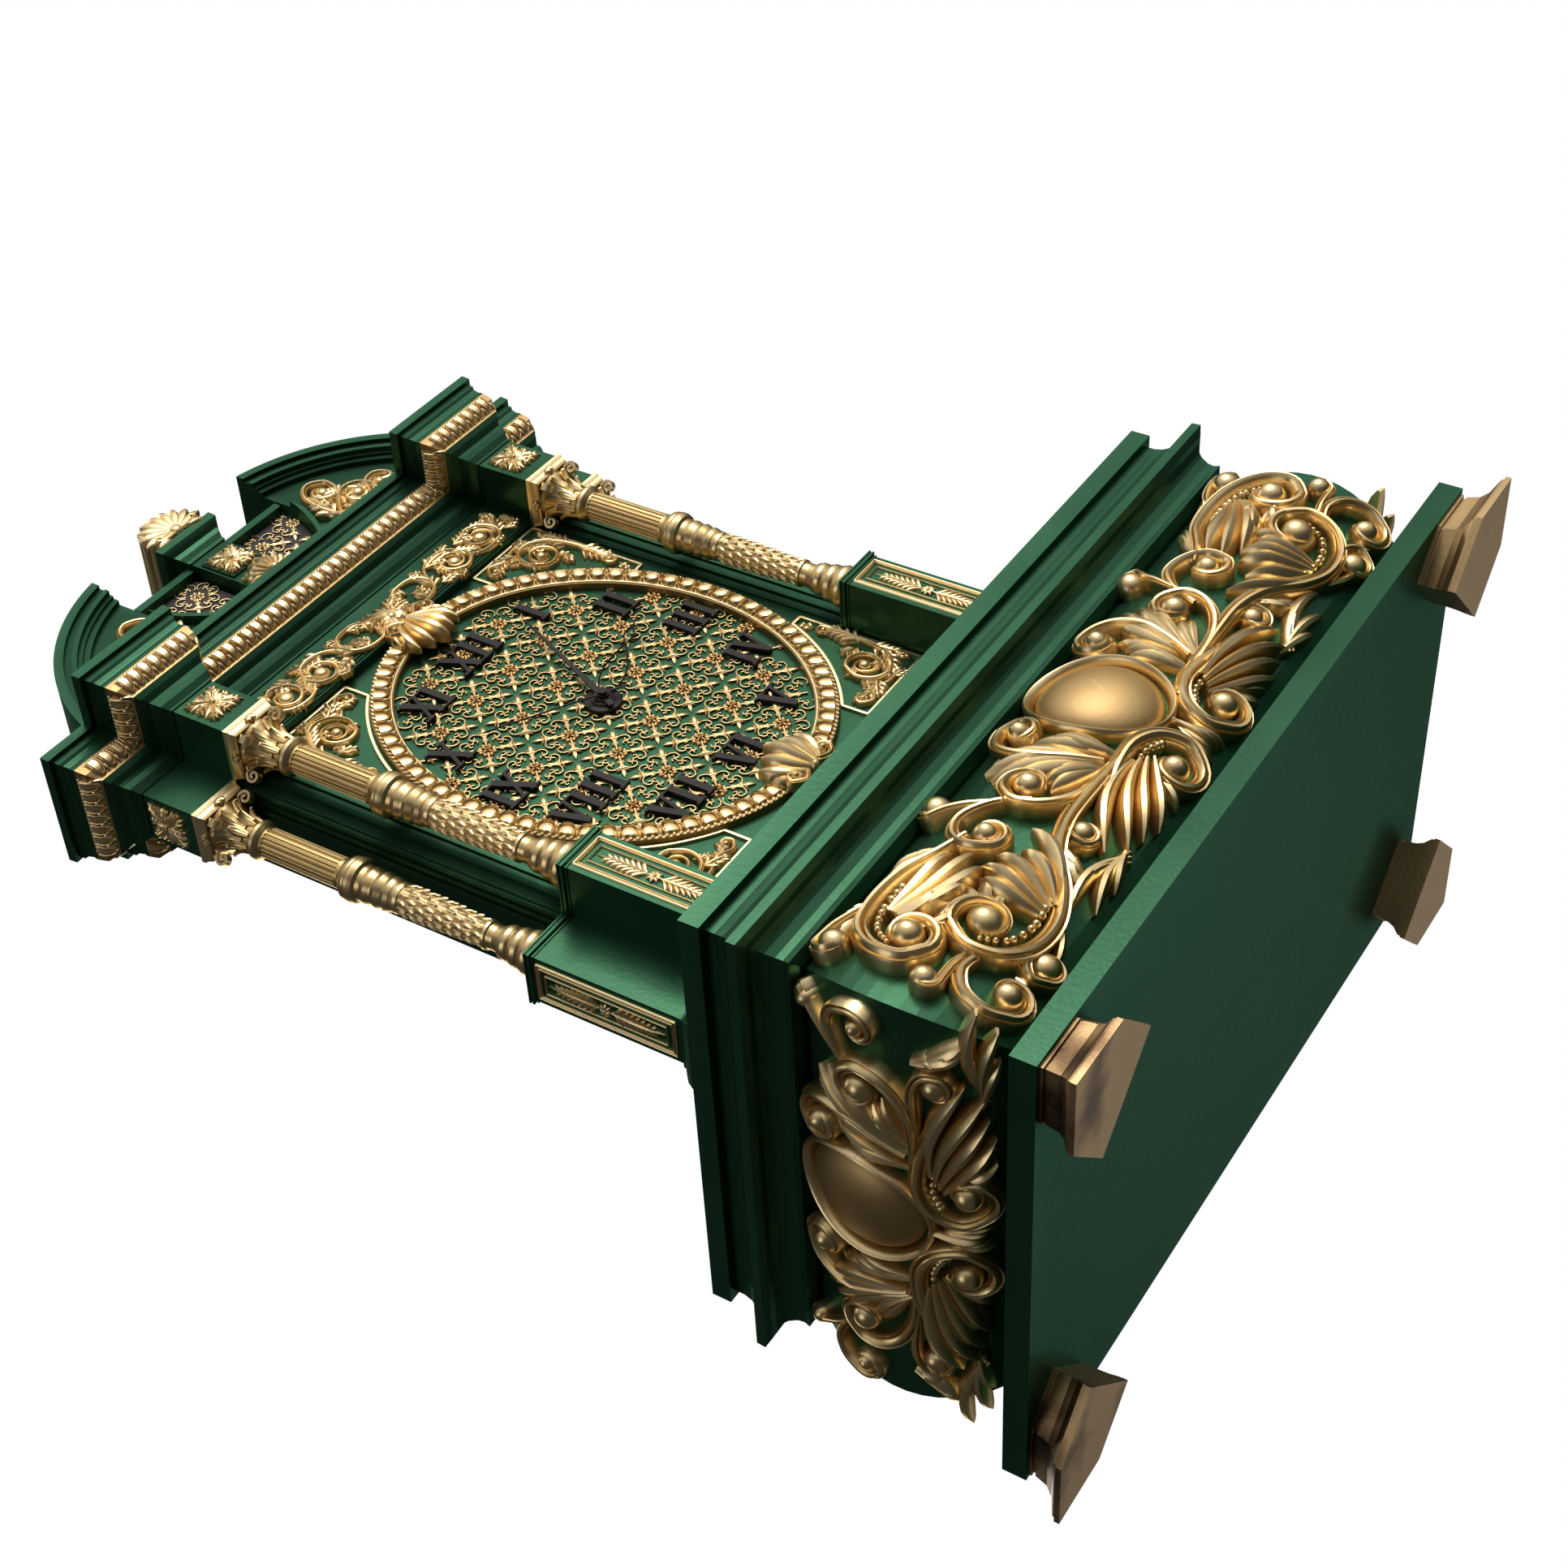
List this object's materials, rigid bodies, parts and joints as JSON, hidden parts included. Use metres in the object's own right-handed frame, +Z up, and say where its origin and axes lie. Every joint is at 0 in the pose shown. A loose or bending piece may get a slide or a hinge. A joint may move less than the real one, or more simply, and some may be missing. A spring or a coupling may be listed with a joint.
{
  "type": "mantel clock",
  "caption": "Ornate architectural mantel clock with colonnaded case, oval dial, concentric hands, broken pediment and hinged rear door.",
  "frame": {"origin": "on the resting plane, under the middle of the four feet", "axes": "+Z up, the dial faces -Y, +X to the viewer's right"},
  "size_m": [0.3934, 0.2368, 0.6017],
  "materials": {
    "green_case": "satin metallic green, slightly worn",
    "gilt": "satin antique gilt",
    "black": "satin black",
    "movement_brass": "brushed brass",
    "steel": "brushed steel"
  },
  "bodies": {
    "case": {"dial_plate": "green_case", "fret_frame": "green_case", "base_plate": "green_case", "base_block": "green_case", "plinth_cornice": "green_case", "case_base": "green_case", "pedestal_front_left": "green_case", "pedestal_front_right": "green_case", "pedestal_side_left": "green_case", "pedestal_side_right": "green_case", "case_carcass": "green_case", "dial_panel": "green_case", "frieze_blocks": "green_case", "entablature_bed": "green_case", "corona": "green_case", "pediment_left": "green_case", "pediment_right": "green_case", "pediment_ribs": "green_case", "centre_block": "green_case", "foot_front_left": "gilt", "foot_front_right": "gilt", "foot_rear_left": "gilt", "foot_rear_right": "gilt", "base_mount_front": "gilt", "base_mount_left": "gilt", "base_mount_right": "gilt", "pedestal_mounts": "gilt", "column_front_left": "gilt", "column_front_right": "gilt", "column_side_left": "gilt", "column_side_right": "gilt", "bezel": "gilt", "bezel_clasps": "gilt", "dial_lattice": "gilt", "spandrels": "gilt", "frieze_rinceau": "gilt", "rosettes": "gilt", "egg_dart_band": "gilt", "tympanum_scrolls": "gilt", "fret_panels": "gilt", "shell": "gilt", "cartouche": "gilt", "numerals": "black", "movement_front_plate": "movement_brass", "movement_back_plate": "movement_brass", "foot_studs": "steel", "movement_pillars": "steel", "hinge_fixed": "steel"},
    "minute": {"minute_arbor": "movement_brass", "minute_hand": "black"},
    "hour": {"hour_wheel": "movement_brass", "hour_hand": "black"},
    "seconds": {"seconds_hand": "black"},
    "setting": {"minute_wheel": "movement_brass"},
    "barrel": {"barrel": "movement_brass"},
    "balance": {"balance": "movement_brass"},
    "door": {"rear_door": "green_case", "hinge_moving": "steel"},
    "latch": {"latch": "steel"}
  },
  "joints": [
    {"name": "minute_turn", "type": "hinge", "parent": "case", "child": "minute", "pos_m": [0, 0, 0.331], "axis": [0, 1, 0], "continuous": true},
    {"name": "hour_turn", "type": "hinge", "parent": "case", "child": "hour", "pos_m": [0, 0, 0.331], "axis": [0, 1, 0], "continuous": true},
    {"name": "seconds_turn", "type": "hinge", "parent": "case", "child": "seconds", "pos_m": [0, 0, 0.331], "axis": [0, 1, 0], "continuous": true},
    {"name": "setting_turn", "type": "hinge", "parent": "case", "child": "setting", "pos_m": [0.0116, 0, 0.3426], "axis": [0, 1, 0], "continuous": true},
    {"name": "barrel_turn", "type": "hinge", "parent": "case", "child": "barrel", "pos_m": [-0.0144, 0, 0.3118], "axis": [0, 1, 0], "continuous": true},
    {"name": "balance_swing", "type": "hinge", "parent": "case", "child": "balance", "pos_m": [-0.016, 0, 0.352], "axis": [0, 1, 0], "range_deg": [-135, 135]},
    {"name": "door_swing", "type": "hinge", "parent": "case", "child": "door", "pos_m": [-0.0755, 0.0338, 0.331], "axis": [0, 0, 1], "range_deg": [0, 110]},
    {"name": "latch_turn", "type": "hinge", "parent": "door", "child": "latch", "pos_m": [0.066, 0, 0.331], "axis": [0, 1, 0], "range_deg": [0, 90]}
  ],
  "couplings": [
    {"joint": "hour_turn", "follows": "minute_turn", "ratio": 0.083333},
    {"joint": "setting_turn", "follows": "minute_turn", "ratio": -0.33333},
    {"joint": "barrel_turn", "follows": "minute_turn", "ratio": -0.14286}
  ]
}
